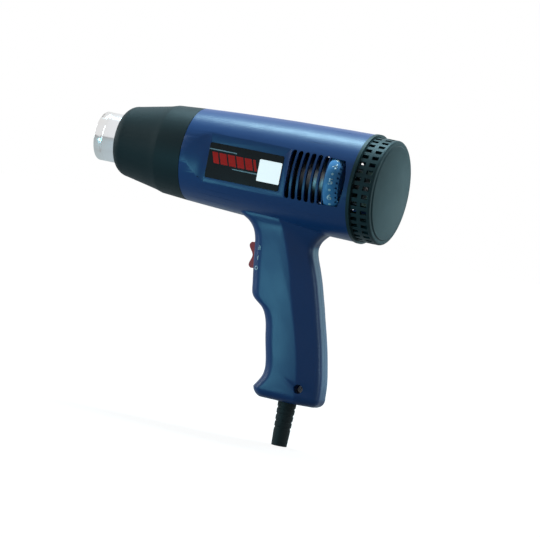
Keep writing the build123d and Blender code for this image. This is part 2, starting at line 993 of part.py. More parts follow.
def motor_can():
    """Drawn steel can, open at the rear, with a bearing boss on its front face."""
    can = rod_along_barrel(motor_front, motor_rear, motor_radius)
    can -= rod_along_barrel(motor_front - motor_face, motor_rear - overrun, motor_radius - motor_wall)
    can += rod_along_barrel(motor_front + boss_length, motor_front, boss_radius)
    bearing_seat = motor_front + boss_length
    can -= rod_along_barrel(bearing_seat + overrun, motor_front - overrun, bearing_radius)
    for y_side in (-1, 1):
        can -= rod_along_barrel(
            motor_front + overrun, motor_front - overrun,
            motor_screw_radius, y_side * motor_screw_circle,
        )
    return can


keep(motor_can(), "motor_can")


def motor_magnet(side):
    """Arc magnet on the can's wall."""
    ring = turned([
        (armature_front, magnet_inner_radius), (armature_front, motor_radius - motor_wall),
        (armature_rear, motor_radius - motor_wall), (armature_rear, magnet_inner_radius),
    ])
    near = side * magnet_inner_radius * math.cos(math.radians(magnet_half_angle))
    low, high = sorted((near, side * motor_radius))
    return ring & block(
        ahead(armature_front), ahead(armature_rear), low, high,
        barrel_height - motor_radius, barrel_height + motor_radius,
    )


keep(group(motor_magnet(side) for side in (-1, 1)), "motor_magnets")


def end_bell():
    """Plastic plug of the can, with the rear bearing's boss."""
    bell = rod_along_barrel(
        motor_rear + motor_wall, motor_rear - slip_gap, motor_radius - motor_wall - slip_gap
    )
    bell += rod_along_barrel(motor_rear, motor_rear - boss_length, boss_radius)
    return bell - rod_along_barrel(motor_front, shaft_rear - overrun, bearing_radius)


keep(end_bell(), "motor_end_bell")


def bearing(front):
    bush = rod_along_barrel(front, front - bearing_length, bearing_radius)
    return bush - rod_along_barrel(
        front + overrun, front - bearing_length - overrun, motor_shaft_radius + running_gap
    )


front_bearing = bearing(motor_front + boss_length)
rear_bearing = bearing(motor_rear - boss_length + bearing_length)
keep(group([front_bearing, rear_bearing]), "motor_bearings")
keep(rod_along_barrel(shaft_front, shaft_rear, motor_shaft_radius), "motor_shaft")


def armature():
    """Slotted lamination stack."""
    stack = rod_along_barrel(armature_front, armature_rear, armature_radius)
    slot = block(
        ahead(armature_front + overrun), ahead(armature_rear - overrun),
        -armature_slot_width / 2, armature_slot_width / 2,
        barrel_height + armature_core_radius + armature_slot_width,
        barrel_height + armature_radius + overrun,
    )
    for cutter in around_barrel(slot, armature_slots):
        stack -= cutter
    return stack - rod_along_barrel(
        armature_front + overrun, armature_rear - overrun, motor_shaft_radius
    )


keep(armature(), "motor_armature")


def commutator():
    drum = rod_along_barrel(commutator_front, commutator_rear, commutator_radius)
    cut = block(
        ahead(commutator_front + overrun), ahead(commutator_rear - overrun),
        -commutator_cut_width / 2, commutator_cut_width / 2,
        barrel_height + commutator_radius - commutator_cut_width,
        barrel_height + commutator_radius + overrun,
    )
    for cutter in around_barrel(cut, commutator_cuts):
        drum -= cutter
    return drum - rod_along_barrel(
        commutator_front + overrun, commutator_rear - overrun, motor_shaft_radius
    )


keep(commutator(), "commutator")


def brush(side):
    near = side * (commutator_radius + brush_gap)
    far = near + side * brush_length
    low, high = sorted((near, far))
    middle = (commutator_front + commutator_rear) / 2
    return block(
        ahead(middle + brush_width / 2), ahead(middle - brush_width / 2),
        low, high,
        barrel_height - brush_width / 2, barrel_height + brush_width / 2,
    )


keep(group(brush(side) for side in (-1, 1)), "motor_brushes")


# Rear cap

def rear_cap():
    """Intake cap: flange, ring with two rows of windows, flat stand face and four tongues."""
    def spot(place, radius):
        return (ahead(place - cap_face_behind), 0, barrel_height + radius)
    joint = cap_joint + cap_face_behind
    bore = rear_spigot_radius + slip_gap
    outside = bore + cap_wall
    flange = outside + cap_flange_height
    disc = outside - cap_disc_inset
    flange_end = joint - cap_flange_length
    rim_place = cap_rim_step
    corner_mid = cap_corner * (1 - math.sqrt(1 / 2))
    edges = [
        Polyline(
            spot(cap_plate, 0), spot(cap_plate, bore), spot(joint - slip_gap, bore),
            spot(joint - slip_gap, flange), spot(flange_end, flange),
            spot(flange_end, outside), spot(rim_place + cap_corner, outside),
        ),
        ThreePointArc(
            spot(rim_place + cap_corner, outside),
            spot(rim_place + corner_mid, outside - corner_mid),
            spot(rim_place, outside - cap_corner),
        ),
        Polyline(
            spot(rim_place, outside - cap_corner),
            spot(rim_place, disc + cap_rim_step),
            spot(0, disc), spot(0, 0), spot(cap_plate, 0),
        ),
    ]
    cap = revolve(make_face(edges), barrel_axis)
    for place in (cap_front_window, cap_rear_window):
        middle = place - cap_face_behind
        window = block(
            ahead(middle + cap_window_length / 2), ahead(middle - cap_window_length / 2),
            -cap_window_width / 2, cap_window_width / 2,
            barrel_height + disc, barrel_height + outside + overrun,
        )
        cap -= around_barrel(window, cap_window_count)
    tongue_outer = rear_spigot_radius - rear_spigot_wall - slip_gap
    tongue_inner = tongue_outer - cap_tongue_thickness
    strip = turned([
        (cap_tongue_front, tongue_inner), (cap_tongue_front, tongue_outer),
        (cap_plate / 2 - cap_face_behind, tongue_outer),
        (cap_plate / 2 - cap_face_behind, tongue_inner),
    ]) & block(
        ahead(cap_tongue_front), ahead(-cap_face_behind),
        -cap_tongue_width / 2, cap_tongue_width / 2,
        barrel_height, barrel_height + outside,
    )
    strip = strip.rotate(barrel_axis, 180 / cap_tongue_count)
    for tongue in around_barrel(strip, cap_tongue_count):
        cap += tongue
    return cap


keep(rear_cap(), "rear_cap")


# Switch, rocker and rocker pins

def switch_body():
    """Switch block behind the grip's front wall, with a pocket for the rocker and terminals."""
    front = shell_wall + switch_set_back
    body = block(
        front, front + switch_depth, -switch_half_width, switch_half_width,
        -switch_half_height, switch_half_height,
    )
    body -= block(
        front - overrun, front + switch_pocket_depth, -window_half_width, window_half_width,
        -window_half_height, window_half_height,
    )
    for level in (-1, 0, 1):
        middle = level * terminal_pitch
        body += block(
            front + switch_depth, front + switch_depth + terminal_length,
            -terminal_width / 2, terminal_width / 2,
            middle - terminal_thickness / 2, middle + terminal_thickness / 2,
        )
    pin_hole = Plane(
        origin=(rocker_pivot_depth, -switch_half_width - overrun, 0), z_dir=(0, 1, 0)
    ) * Circle(rocker_pin_radius + running_gap)
    body -= extrude(pin_hole, 2 * (switch_half_width + overrun))
    return in_switch_frame(body)


def switch_rocker():
    """Red rocker with two crests and a low middle, on its two pins."""
    height = rocker_half_height
    peak = height * rocker_peak_share
    crest = Spline(
        (-rocker_shoulder, 0, -height), (-rocker_peak, 0, -peak), (-rocker_valley, 0, 0),
        (-rocker_peak, 0, peak), (-rocker_shoulder, 0, height),
    )
    back = Polyline(
        (-rocker_shoulder, 0, height), (rocker_skirt_depth, 0, height),
        (rocker_pivot_depth + rocker_hub_radius / 2, 0, 0),
        (rocker_skirt_depth, 0, -height), (-rocker_shoulder, 0, -height),
    )
    body = extrude(make_face([crest, back]), rocker_half_width, both=True)
    hub = Plane(origin=(rocker_pivot_depth, -rocker_half_width, 0), z_dir=(0, 1, 0))
    body += extrude(hub * Circle(rocker_hub_radius), 2 * rocker_half_width)
    pins = Plane(
        origin=(rocker_pivot_depth, -rocker_half_width - rocker_pin_length, 0), z_dir=(0, 1, 0)
    )
    pin_length = 2 * (rocker_half_width + rocker_pin_length)
    body += extrude(pins * Circle(rocker_pin_radius), pin_length)
    return in_switch_frame(body)


keep(switch_body(), "switch_body")
keep(switch_rocker(), "switch_rocker")
pivot = (switch_frame() * Pos(rocker_pivot_depth, 0, 0)).position
print("rocker pivot", [round(value, 3) for value in pivot])


# Heat dial, its shaft, potentiometer and board

def heat_dial():
    """Crowned thumbwheel with a knurled rear edge."""
    front = dial_place + dial_thickness / 2
    rear = dial_place - dial_thickness / 2
    def spot(place, radius):
        return (ahead(place), -dial_offset, barrel_height + radius)
    edges = [
        Polyline(spot(front, dial_shaft_radius), spot(front, dial_front_radius)),
        ThreePointArc(
            spot(front, dial_front_radius),
            spot(front - dial_crest_share * dial_thickness, dial_radius),
            spot(rear, dial_rear_radius),
        ),
        Polyline(
            spot(rear, dial_rear_radius), spot(rear, dial_shaft_radius),
            spot(front, dial_shaft_radius),
        ),
    ]
    wheel = revolve(make_face(edges), dial_axis)
    bottom = dial_rear_radius - dial_knurl_depth
    notch = Plane(
        origin=(
            ahead(rear + dial_knurl_length), -dial_offset,
            barrel_height + bottom + dial_knurl_radius,
        ),
        z_dir=(1, 0, 0),
    )
    groove = extrude(notch * Circle(dial_knurl_radius), dial_knurl_length + overrun)
    step = 360 / dial_knurls
    cutters = [groove.rotate(dial_axis, step * number) for number in range(dial_knurls)]
    return wheel - cutters


keep(heat_dial(), "heat_dial")
keep(
    rod_along_barrel(dial_shaft_front, dial_shaft_rear, dial_shaft_radius, -dial_offset),
    "dial_shaft",
)


def control_board():
    half = board_thickness / 2
    board = block(
        ahead(board_place + half), ahead(board_place - half),
        -board_outer_reach, board_inner_reach,
        barrel_height - board_half_height, barrel_height + board_half_height,
    )
    corner = board.edges().filter_by(Axis.X).sort_by(Axis.Y)[0:2]
    board = chamfer(corner, rail_height / 2)
    return board - rod_along_barrel(
        board_place + overrun, board_place - overrun, dial_shaft_radius + slip_gap, -dial_offset
    )


keep(control_board(), "control_board")


def potentiometer():
    front = board_place - board_thickness / 2
    body = rod_along_barrel(front, front - pot_length, pot_radius, -dial_offset)
    return body - rod_along_barrel(
        front + overrun, front - pot_length - overrun,
        dial_shaft_radius + running_gap, -dial_offset,
    )


keep(potentiometer(), "dial_potentiometer")


# Cord sleeve, clamp and screws

def cord_sleeve():
    """Tapered strain relief with a flange inside the foot and shallow flex rings."""
    top_drop = grip_drop - shell_wall - sleeve_flange_thickness
    def spot(drop, radius):
        return (ahead(sleeve_place) + radius, 0, below(drop))
    end_drop = grip_drop + sleeve_length
    points = [
        spot(top_drop, sleeve_bore_radius), spot(top_drop, sleeve_flange_radius),
        spot(grip_drop - shell_wall, sleeve_flange_radius),
        spot(grip_drop - shell_wall, sleeve_root_radius), spot(grip_drop, sleeve_root_radius),
        spot(end_drop, sleeve_tip_radius), spot(end_drop, sleeve_bore_radius),
    ]
    sleeve_axis = Axis((ahead(sleeve_place), 0, 0), (0, 0, 1))
    sleeve = revolve(make_face(Polyline(*points, close=True)), sleeve_axis)
    taper = (sleeve_root_radius - sleeve_tip_radius) / sleeve_length
    for number in range(sleeve_ring_count):
        along = sleeve_ring_pitch * (number + 1)
        surface = sleeve_root_radius - taper * along
        ring = Pos(ahead(sleeve_place), 0, below(grip_drop + along)) * (
            Cylinder(surface + overrun, sleeve_ring_width)
            - Cylinder(surface - sleeve_ring_depth, sleeve_ring_width)
        )
        sleeve -= ring
    return sleeve


keep(cord_sleeve(), "cord_sleeve")

clamp_face = sleeve_bore_radius - clamp_saddle_depth


def cord_clamp():
    """Saddle bar screwed onto two posts."""
    half = clamp_post_spacing / 2 + clamp_post_radius
    bar = block(
        ahead(sleeve_place + half), ahead(sleeve_place - half),
        clamp_face - clamp_thickness, clamp_face,
        below(clamp_drop + clamp_width / 2), below(clamp_drop - clamp_width / 2),
    )
    for place in clamp_post_places():
        bar -= cross_rod(
            place, clamp_drop, clamp_face - clamp_thickness - overrun, clamp_face + overrun,
            clamp_screw_radius + slip_gap,
        )
    return bar


keep(cord_clamp(), "cord_clamp")


def clamp_screw(place):
    seat = clamp_face - clamp_thickness
    screw = cross_rod(
        place, clamp_drop, seat - clamp_screw_head_height, seat, clamp_screw_head_radius
    )
    return screw + cross_rod(place, clamp_drop, seat, clamp_screw_reach, clamp_screw_radius)


keep(group(clamp_screw(place) for place in clamp_post_places()), "cord_clamp_screws")


def housing_screw(place, drop, side):
    """Pan-head screw with a cross recess, its head on the given side."""
    def span(from_y, to_y, radius):
        low, high = sorted((side * from_y, side * to_y))
        return cross_rod(place, drop, low, high, radius)
    top = screw_head_seat + screw_head_height
    screw = span(screw_head_seat, top, screw_head_radius)
    screw += span(-screw_reach, screw_head_seat, screw_radius)
    low, high = sorted((side * (top - screw_cross_depth), side * (top + overrun)))
    wide = (screw_cross_span, screw_cross_width)
    for along, across in (wide, wide[::-1]):
        screw -= block(
            ahead(place) - along / 2, ahead(place) + along / 2, low, high,
            below(drop) - across / 2, below(drop) + across / 2,
        )
    return screw


keep(group(housing_screw(*place) for place in housing_screw_places), "housing_screws")
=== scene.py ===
# %% [markdown]
# A pistol-grip hot-air tool, as a lesson in dressing a CAD model.
# The CAD model already has every solid at its real size, and each of them rides on a body that can
# turn or stay still. This file gives that model the finish of the real thing: satin and glossy
# mouldings, polished steel, rubber, print. It adds only what is too thin or too fine for CAD.

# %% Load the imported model
import json
import math

import bmesh
import bpy
from mathutils import Matrix, Vector
from mathutils.bvhtree import BVHTree


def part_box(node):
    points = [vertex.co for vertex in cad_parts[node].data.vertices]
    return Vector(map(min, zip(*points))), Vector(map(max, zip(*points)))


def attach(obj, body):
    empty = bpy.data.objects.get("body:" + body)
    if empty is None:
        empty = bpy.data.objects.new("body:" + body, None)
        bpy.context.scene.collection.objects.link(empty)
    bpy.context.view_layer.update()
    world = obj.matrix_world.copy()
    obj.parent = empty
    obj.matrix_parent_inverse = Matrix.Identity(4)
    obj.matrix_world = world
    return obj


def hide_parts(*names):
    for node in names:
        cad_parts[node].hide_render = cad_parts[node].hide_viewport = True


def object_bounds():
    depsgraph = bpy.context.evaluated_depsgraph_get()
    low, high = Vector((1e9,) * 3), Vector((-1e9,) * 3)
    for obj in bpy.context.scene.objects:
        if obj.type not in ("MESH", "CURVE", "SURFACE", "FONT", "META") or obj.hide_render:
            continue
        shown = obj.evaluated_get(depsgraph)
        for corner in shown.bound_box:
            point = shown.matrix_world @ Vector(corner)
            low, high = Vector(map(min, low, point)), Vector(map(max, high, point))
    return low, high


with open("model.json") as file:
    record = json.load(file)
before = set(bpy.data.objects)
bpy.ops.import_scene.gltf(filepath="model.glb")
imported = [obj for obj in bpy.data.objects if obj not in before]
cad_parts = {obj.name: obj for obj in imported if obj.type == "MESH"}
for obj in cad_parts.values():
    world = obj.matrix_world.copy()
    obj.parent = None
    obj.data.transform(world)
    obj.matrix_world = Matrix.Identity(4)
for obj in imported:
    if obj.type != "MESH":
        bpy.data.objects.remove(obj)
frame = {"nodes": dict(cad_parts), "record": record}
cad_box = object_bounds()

nodes = frame["nodes"]
body_of_node = {}
for body_name, members in frame["record"]["behaviour"]["bodies"].items():
    for member in members:
        body_of_node[member] = body_name
slot_of_node = {row["node"]: row["material_slot"] for row in frame["record"]["subparts"]}
mm = 0.001

# %% [markdown]
# The tool's frame comes from its record: the barrel runs along X, the nozzle points to -X, and the
# grip hangs down -Z. The nozzle's tip and the height of the barrel's axis place everything else, so
# they are read from the model's own boxes and not typed again.

# %% Places on the tool
cap_low, cap_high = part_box("rear_cap")
nozzle_low, nozzle_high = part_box("nozzle_tube")
rear_face = cap_high.x
nozzle_tip = nozzle_low.x
nozzle_ahead = 247 * mm
barrel_height = (nozzle_low.z + nozzle_high.z) / 2


def ahead(distance):
    """A place along the barrel, given as the CAD model gives it: ahead of a datum in the cap."""
    return nozzle_tip + nozzle_ahead - distance


print("length", round(rear_face - nozzle_tip, 4), "barrel axis at", round(barrel_height, 4))

# %% [markdown]
# The camera stands where the photograph was taken from: level with the tool, a little behind its
# side, and tilted, so that the barrel slopes. A long lens from three metres keeps the circles of
# the barrel nearly alike, as they are in a catalogue picture.

# %% Camera
frame_width = 540
pixels_per_metre = 1278
camera_azimuth = math.radians(22.3)
camera_elevation = math.radians(2.0)
camera_roll = math.radians(11.2)
camera_distance = 3.0
centre_ahead = 84.8 * mm
centre_below = 76.2 * mm
centre = Vector((ahead(centre_ahead), 0, barrel_height - centre_below))


def direction(azimuth, elevation):
    """Which way something stands from the tool, in radians round it and up."""
    level = math.cos(elevation)
    return Vector((math.sin(azimuth) * level, -math.cos(azimuth) * level, math.sin(elevation)))


towards_camera = direction(camera_azimuth, camera_elevation)

camera_data = bpy.data.cameras.new("camera")
camera_data.type = "PERSP"
camera_data.lens = camera_data.sensor_width * camera_distance * pixels_per_metre / frame_width
camera = bpy.data.objects.new("camera", camera_data)
look = towards_camera.to_track_quat("Z", "Y").to_matrix().to_4x4()
place = Matrix.Translation(centre + towards_camera * camera_distance)
camera.matrix_world = place @ look @ Matrix.Rotation(camera_roll, 4, "Z")
bpy.context.scene.collection.objects.link(camera)
bpy.context.scene.camera = camera
bpy.context.scene.view_settings.view_transform = "Standard"
print("lens", round(camera_data.lens, 1), "mm")

# %% [markdown]
# A finish is a small network of nodes. Written as node calls, its maths is hard to read, so one
# class wraps a socket and turns + - * / into Math nodes, and another one holds the material and
# makes any other node. A mask then reads as it would on paper: 1 - scratches * 0.3.

# %% Shader maths
class Wire:
    """An output socket that can be used in a sum or a product."""

    def __init__(self, finish, socket):
        self.finish = finish
        self.socket = socket

    def maths(self, operation, first, second):
        settings = {"operation": operation}
        return self.finish.node("ShaderNodeMath", settings, {0: first, 1: second})

    def __add__(self, other):
        return self.maths("ADD", self, other)

    def __radd__(self, other):
        return self.maths("ADD", other, self)

    def __sub__(self, other):
        return self.maths("SUBTRACT", self, other)

    def __rsub__(self, other):
        return self.maths("SUBTRACT", other, self)

    def __mul__(self, other):
        return self.maths("MULTIPLY", self, other)

    def __rmul__(self, other):
        return self.maths("MULTIPLY", other, self)

    def __truediv__(self, other):
        return self.maths("DIVIDE", self, other)

    def __rtruediv__(self, other):
        return self.maths("DIVIDE", other, self)

    def below(self, limit):
        return self.maths("LESS_THAN", self, limit)

    def above(self, limit):
        return self.maths("GREATER_THAN", self, limit)

    def size(self):
        return self.maths("ABSOLUTE", self, 0.0)

    def sine(self):
        return self.maths("SINE", self, 0.0)

    def root(self):
        return self.maths("SQRT", self, 0.0)


satin_reflection = 0.14


class Finish:
    """One material. What is alike all over is set on the shader, what varies is wired to it."""

    def __init__(self, name, colour, roughness, **constants):
        self.material = bpy.data.materials.new(name)
        self.material.use_nodes = True
        self.material.node_tree.nodes.clear()
        self.material.diffuse_color = (*colour, 1)
        self.shader = self.material.node_tree.nodes.new("ShaderNodeBsdfPrincipled")
        output = self.material.node_tree.nodes.new("ShaderNodeOutputMaterial")
        self.material.node_tree.links.new(self.shader.outputs["BSDF"], output.inputs["Surface"])
        self.set("Base Color", (*colour, 1))
        self.set("Roughness", roughness)
        self.set("Specular IOR Level", satin_reflection)
        for constant, value in constants.items():
            self.set(constant.replace("_", " ").title().replace("Ior", "IOR"), value)
        self.place = self.node("ShaderNodeTexCoord", output="Object")

    def node(self, kind, settings=None, sockets=None, output=0):
        """Any node: its settings first, then the values or links of its sockets."""
        made = self.material.node_tree.nodes.new(kind)
        for name, value in (settings or {}).items():
            setattr(made, name, value)
        for name, value in (sockets or {}).items():
            self.join(made.inputs[name], value)
        return Wire(self, made.outputs[output])

    def join(self, socket, value):
        if isinstance(value, Wire):
            self.material.node_tree.links.new(value.socket, socket)
        else:
            socket.default_value = value

    def set(self, name, value):
        self.join(self.shader.inputs[name], value)

    def noise(self, features_per_metre, detail=2.0, roughness=0.5, place=None):
        """Even cloudy noise from 0 to 1."""
        sockets = {
            "Vector": place or self.place,
            "Scale": features_per_metre,
            "Detail": detail,
            "Roughness": roughness,
        }
        return self.node("ShaderNodeTexNoise", None, sockets)

    def stretched(self, x, y, z):
        """The place with each direction scaled, for grain that runs one way."""
        return self.node("ShaderNodeMapping", None, {"Vector": self.place, "Scale": (x, y, z)})

    def coordinates(self):
        """The three coordinates of the place, as three wires."""
        split = {"Vector": self.place}
        return [self.node("ShaderNodeSeparateXYZ", None, split, axis) for axis in ("X", "Y", "Z")]

    def blend(self, factor, first, second):
        """A colour between two colours."""
        sockets = {"Factor": factor, 6: first, 7: second}
        return self.node("ShaderNodeMix", {"data_type": "RGBA"}, sockets, 2)

    def steps(self, value, low, high):
        """A value that climbs from 0 to 1 while the input goes from low to high."""
        settings = {"interpolation_type": "SMOOTHSTEP"}
        sockets = {"Value": value, "From Min": low, "From Max": high}
        return self.node("ShaderNodeMapRange", settings, sockets)

    def bump(self, height, depth):
        """Relief of this depth in metres, where the height goes from 0 to 1."""
        sockets = {"Height": height, "Distance": depth, "Strength": 1.0}
        self.set("Normal", self.node("ShaderNodeBump", None, sockets))


print("a finish and its wires are ready")

# %% [markdown]
# Moulded plastic is never quite even. A steel mould that was spark-eroded leaves a fine grain,
# handling leaves patches that shine more, and the pigment drifts a little where the melt flowed.
# One function makes all the mouldings from these three, with the grain and the gloss as inputs.


# %% Moulded plastics
def moulding(name, colour, drift_colour, roughness, grain, **constants):
    finish = Finish(name, colour, roughness, **constants)
    drift = finish.noise(14, 3)
    finish.set("Base Color", finish.blend(drift, (*colour, 1), (*drift_colour, 1)))
    handled = finish.noise(45, 4, 0.6)
    fine = finish.noise(1500, 2)
    finish.set("Roughness", handled * 0.14 + fine * 0.05 + (roughness - 0.09))
    finish.bump(finish.noise(1150, 3, 0.6), grain)
    return finish.material


finishes = {
    "blue_shell": moulding(
        "blue_shell", (0.012, 0.060, 0.185), (0.010, 0.050, 0.160), 0.32, 0.00004,
        specular_ior_level=0.22,
    ),
    "black_heatproof": moulding(
        "black_heatproof", (0.007, 0.017, 0.020), (0.010, 0.023, 0.025), 0.50, 0.00012
    ),
    "black_cap": moulding("black_cap", (0.014, 0.034, 0.038), (0.018, 0.042, 0.046), 0.45, 0.0001),
    "dark_plastic": moulding(
        "dark_plastic", (0.012, 0.012, 0.014), (0.02, 0.02, 0.022), 0.55, 0.00008
    ),
    "black_plastic": moulding(
        "black_plastic", (0.010, 0.010, 0.011), (0.016, 0.016, 0.017), 0.42, 0.00005
    ),
    "red_plastic": moulding(
        "red_plastic", (0.80, 0.030, 0.024), (0.70, 0.022, 0.018), 0.28, 0.00002
    ),
    "blue_dial": moulding("blue_dial", (0.13, 0.33, 0.62), (0.09, 0.25, 0.50), 0.28, 0.00003),
    "board_green": moulding("board_green", (0.01, 0.10, 0.035), (0.015, 0.13, 0.05), 0.32, 0.00002),
    "ceramic": moulding("ceramic", (0.72, 0.68, 0.60), (0.66, 0.60, 0.50), 0.75, 0.0001),
}
print(len(finishes), "mouldings")

# %% [markdown]
# The nozzle is deep-drawn steel, polished, and browned a little at its tip by its own heat. Polish
# leaves hair lines round the tube, so the noise is stretched round it: many features along the
# barrel, few round it. The other metals are duller, and differ in colour and in how their grain
# runs.


# %% Metals
def metal(name, colour, tint, roughness, along, across, depth):
    """Grain with so many features per metre along and across the barrel, over a drifting colour."""
    finish = Finish(name, colour, roughness, metallic=1.0)
    lines = finish.noise(1, 3, 0.6, finish.stretched(along, across, across))
    finish.set("Base Color", finish.blend(finish.noise(60, 3), (*colour, 1), (*tint, 1)))
    finish.set("Roughness", lines * 0.12 + finish.noise(90, 3) * 0.08 + (roughness - 0.10))
    finish.bump(lines, depth)
    return finish


steel = metal("polished_steel", (0.93, 0.94, 0.96), (0.88, 0.90, 0.93), 0.14, 4200, 60, 0.000004)
x, y, z = steel.coordinates()
heated_length = 16 * mm
heat_stain = 0.45
warmth = steel.steps(x, nozzle_tip + heated_length, nozzle_tip) * steel.noise(35, 2)
cool = steel.blend(steel.noise(60, 3), (0.93, 0.94, 0.96, 1), (0.88, 0.90, 0.93, 1))
steel.set("Base Color", steel.blend(warmth * heat_stain, cool, (0.70, 0.62, 0.50, 1)))
finishes["polished_steel"] = steel.material

# Colour, second colour, roughness, features along and across, depth of the grain
metal_rows = {
    # The plated steel is a darker grey than plating shows, so that the parts seen through the vents
    # stand dark: this is painted shade.
    "plated_steel": ((0.26, 0.27, 0.28), (0.20, 0.21, 0.22), 0.46, 900, 900, 0.00001),
    "ground_steel": ((0.60, 0.60, 0.62), (0.52, 0.52, 0.54), 0.26, 3000, 80, 0.000006),
    "bronze": ((0.45, 0.29, 0.12), (0.38, 0.24, 0.10), 0.45, 1800, 1800, 0.00002),
    "copper": ((0.62, 0.28, 0.16), (0.50, 0.20, 0.10), 0.30, 3000, 80, 0.000006),
    "magnet": ((0.10, 0.10, 0.11), (0.14, 0.14, 0.15), 0.60, 1500, 1500, 0.00003),
    "resistance_wire": ((0.32, 0.27, 0.24), (0.22, 0.18, 0.17), 0.48, 1200, 1200, 0.00001),
}
for metal_name, row in metal_rows.items():
    finishes[metal_name] = metal(metal_name, *row).material
print(len(finishes), "finishes so far")

# %% [markdown]
# Mica comes in flakes: pale plates with darker edges. Carbon is dull and slightly grainy, and the
# rubber of a strain relief is soft, with a bloom that makes it greyer where it is not handled.

# %% Mica, carbon, rubber
mica = Finish("mica", (0.52, 0.45, 0.34), 0.35)
flakes = mica.node("ShaderNodeTexVoronoi", None, {"Vector": mica.place, "Scale": 260.0}, "Distance")
mica.set("Base Color", mica.blend(flakes, (0.60, 0.53, 0.42, 1), (0.36, 0.29, 0.20, 1)))
mica.set("Roughness", flakes * 0.25 + 0.25)
mica.bump(flakes, 0.00005)
finishes["mica"] = mica.material

finishes["carbon"] = moulding("carbon", (0.02, 0.02, 0.02), (0.03, 0.03, 0.03), 0.7, 0.00006)

rubber = Finish("black_rubber", (0.014, 0.020, 0.020), 0.6)
bloom = rubber.noise(70, 4, 0.65)
rubber.set("Base Color", rubber.blend(bloom, (0.010, 0.015, 0.016, 1), (0.030, 0.038, 0.038, 1)))
rubber.set("Roughness", bloom * 0.25 + 0.42)
rubber.bump(rubber.noise(900, 3), 0.00006)
finishes["black_rubber"] = rubber.material

# %% [markdown]
# The label is a printed black film. Its print is one red bar, cut by narrow gaps, with a thin
# silver line over and under it. The bars are masks of the place along the film, so that they stay
# sharp however close the camera comes. The sticker's film and the paint of the signs are plainer:
# a white that is cloudy at close range. The sticker gives off a little light, as bright paper seems
# to beside dark plastic.

# %% Label film, sticker and paint
label_low, label_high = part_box("label_plate")
label_length = label_high.x - label_low.x
bar_left = label_low.x + label_length * 0.07
bar_right = label_low.x + label_length * 0.66
bar_middle = 0.7 * mm
bar_thickness = 8.6 * mm
gap_pitch = label_length * 0.115
gap_threshold = -0.86
line_length = 22 * mm
line_overhang = 2 * mm
upper_line = 7.0 * mm
lower_line = -5.6 * mm
line_thickness = 0.8 * mm
lean_of_print = 0.35
black_ink = (0.008, 0.008, 0.009, 1)
red_ink = (0.96, 0.022, 0.016, 1)
silver_ink = (0.42, 0.44, 0.46, 1)
film = Finish("black_label", black_ink[:3], 0.3)
x, y, z = film.coordinates()
height = z - barrel_height
lean = x + height * lean_of_print


def printed_bar(left, right, middle, thickness):
    """A mask that is 1 on a leaning bar of the film."""
    inside = lean.above(left) * lean.below(right)
    return inside * (height - middle).size().below(thickness / 2)


silver = printed_bar(
    bar_left - line_overhang, bar_left + line_length, upper_line, line_thickness
) + printed_bar(
    bar_right - line_length, bar_right + line_overhang, lower_line, line_thickness
)
gaps = ((lean - bar_left) * (math.tau / gap_pitch)).sine().above(gap_threshold)
red = printed_bar(bar_left, bar_right, bar_middle, bar_thickness) * gaps
speckle = film.noise(800, 2) * 0.4 + 0.8
printed = film.blend(red * speckle, black_ink, red_ink)
film.set("Base Color", film.blend(silver, printed, silver_ink))
film.set("Roughness", film.noise(120, 3) * 0.12 + 0.22)
film.bump(film.noise(500, 3), 0.00001)
finishes["black_label"] = film.material

paper = Finish("blank_film", (0.93, 0.93, 0.92), 0.5, emission_strength=0.6)
clouds = paper.noise(220, 4)
paper.set("Base Color", paper.blend(clouds, (0.95, 0.95, 0.94, 1), (0.91, 0.91, 0.90, 1)))
paper.bump(paper.noise(1800, 2), 0.00001)
finishes["blank_film"] = paper.material

paint = Finish("white_paint", (0.78, 0.80, 0.82), 0.45)
clouds = paint.noise(900, 3)
paint.set("Base Color", paint.blend(clouds, (0.82, 0.84, 0.86, 1), (0.68, 0.72, 0.76, 1)))
paint.bump(paint.noise(2500, 2), 0.00001)
finishes["white_paint"] = paint.material
print(len(finishes), "finishes")

# %% [markdown]
# Every solid of the CAD model arrives as loose triangles with hard edges. Real mouldings and
# turned parts have small rounded edges that catch the light, so each solid is copied, its
# triangles are merged, flat areas are dissolved into single faces, and a narrow bevel rounds the
# sharp edges. The copy stands for the solid and rides on the same body.

# %% Dress the solids
crisp = math.radians(32)
flat = math.radians(0.5)
same_place = 0.001 * mm
edge_width = 0.25 * mm
edge_segments = 2


def dressed(node):
    """A copy of a CAD solid with merged faces and softened edges, which stands for it."""
    mesh = nodes[node].data.copy()
    shape = bmesh.new()
    shape.from_mesh(mesh)
    bmesh.ops.remove_doubles(shape, verts=shape.verts, dist=same_place)
    bmesh.ops.dissolve_limit(shape, angle_limit=flat, verts=shape.verts, edges=shape.edges)
    shape.to_mesh(mesh)
    shape.free()
    piece = bpy.data.objects.new(node + "_dressed", mesh)
    bpy.context.scene.collection.objects.link(piece)
    mesh.materials.clear()
    mesh.materials.append(finishes[slot_of_node[node]])
    mesh.shade_smooth()
    mesh.set_sharp_from_angle(angle=crisp)
    bevel = piece.modifiers.new("soft edges", "BEVEL")
    bevel.width = edge_width
    bevel.segments = edge_segments
    bevel.limit_method = "ANGLE"
    bevel.angle_limit = crisp
    bevel.harden_normals = True
    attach(piece, body_of_node[node])
    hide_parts(node)


for node in sorted(nodes):
    dressed(node)
print("dressed", len(nodes), "solids")

# %% [markdown]
# Print, paint and stickers lie on the surface that carries them, however it curves. So each one
# starts as a flat shape, and a ray from every corner finds the place where it meets that surface.
# The flat shape then gets its small thickness by extruding it outwards.


# %% Lay thin pieces on a surface
sunk_share = 0.1
ink_thickness = 0.06 * mm
film_thickness = 0.15 * mm
clear_of_tool = 10 * mm
upright = Matrix.Rotation(math.radians(90), 4, "X")


def surface_of(node):
    """The CAD solid's surface, ready for rays."""
    shape = bmesh.new()
    shape.from_mesh(nodes[node].data)
    tree = BVHTree.FromBMesh(shape)
    shape.free()
    return tree


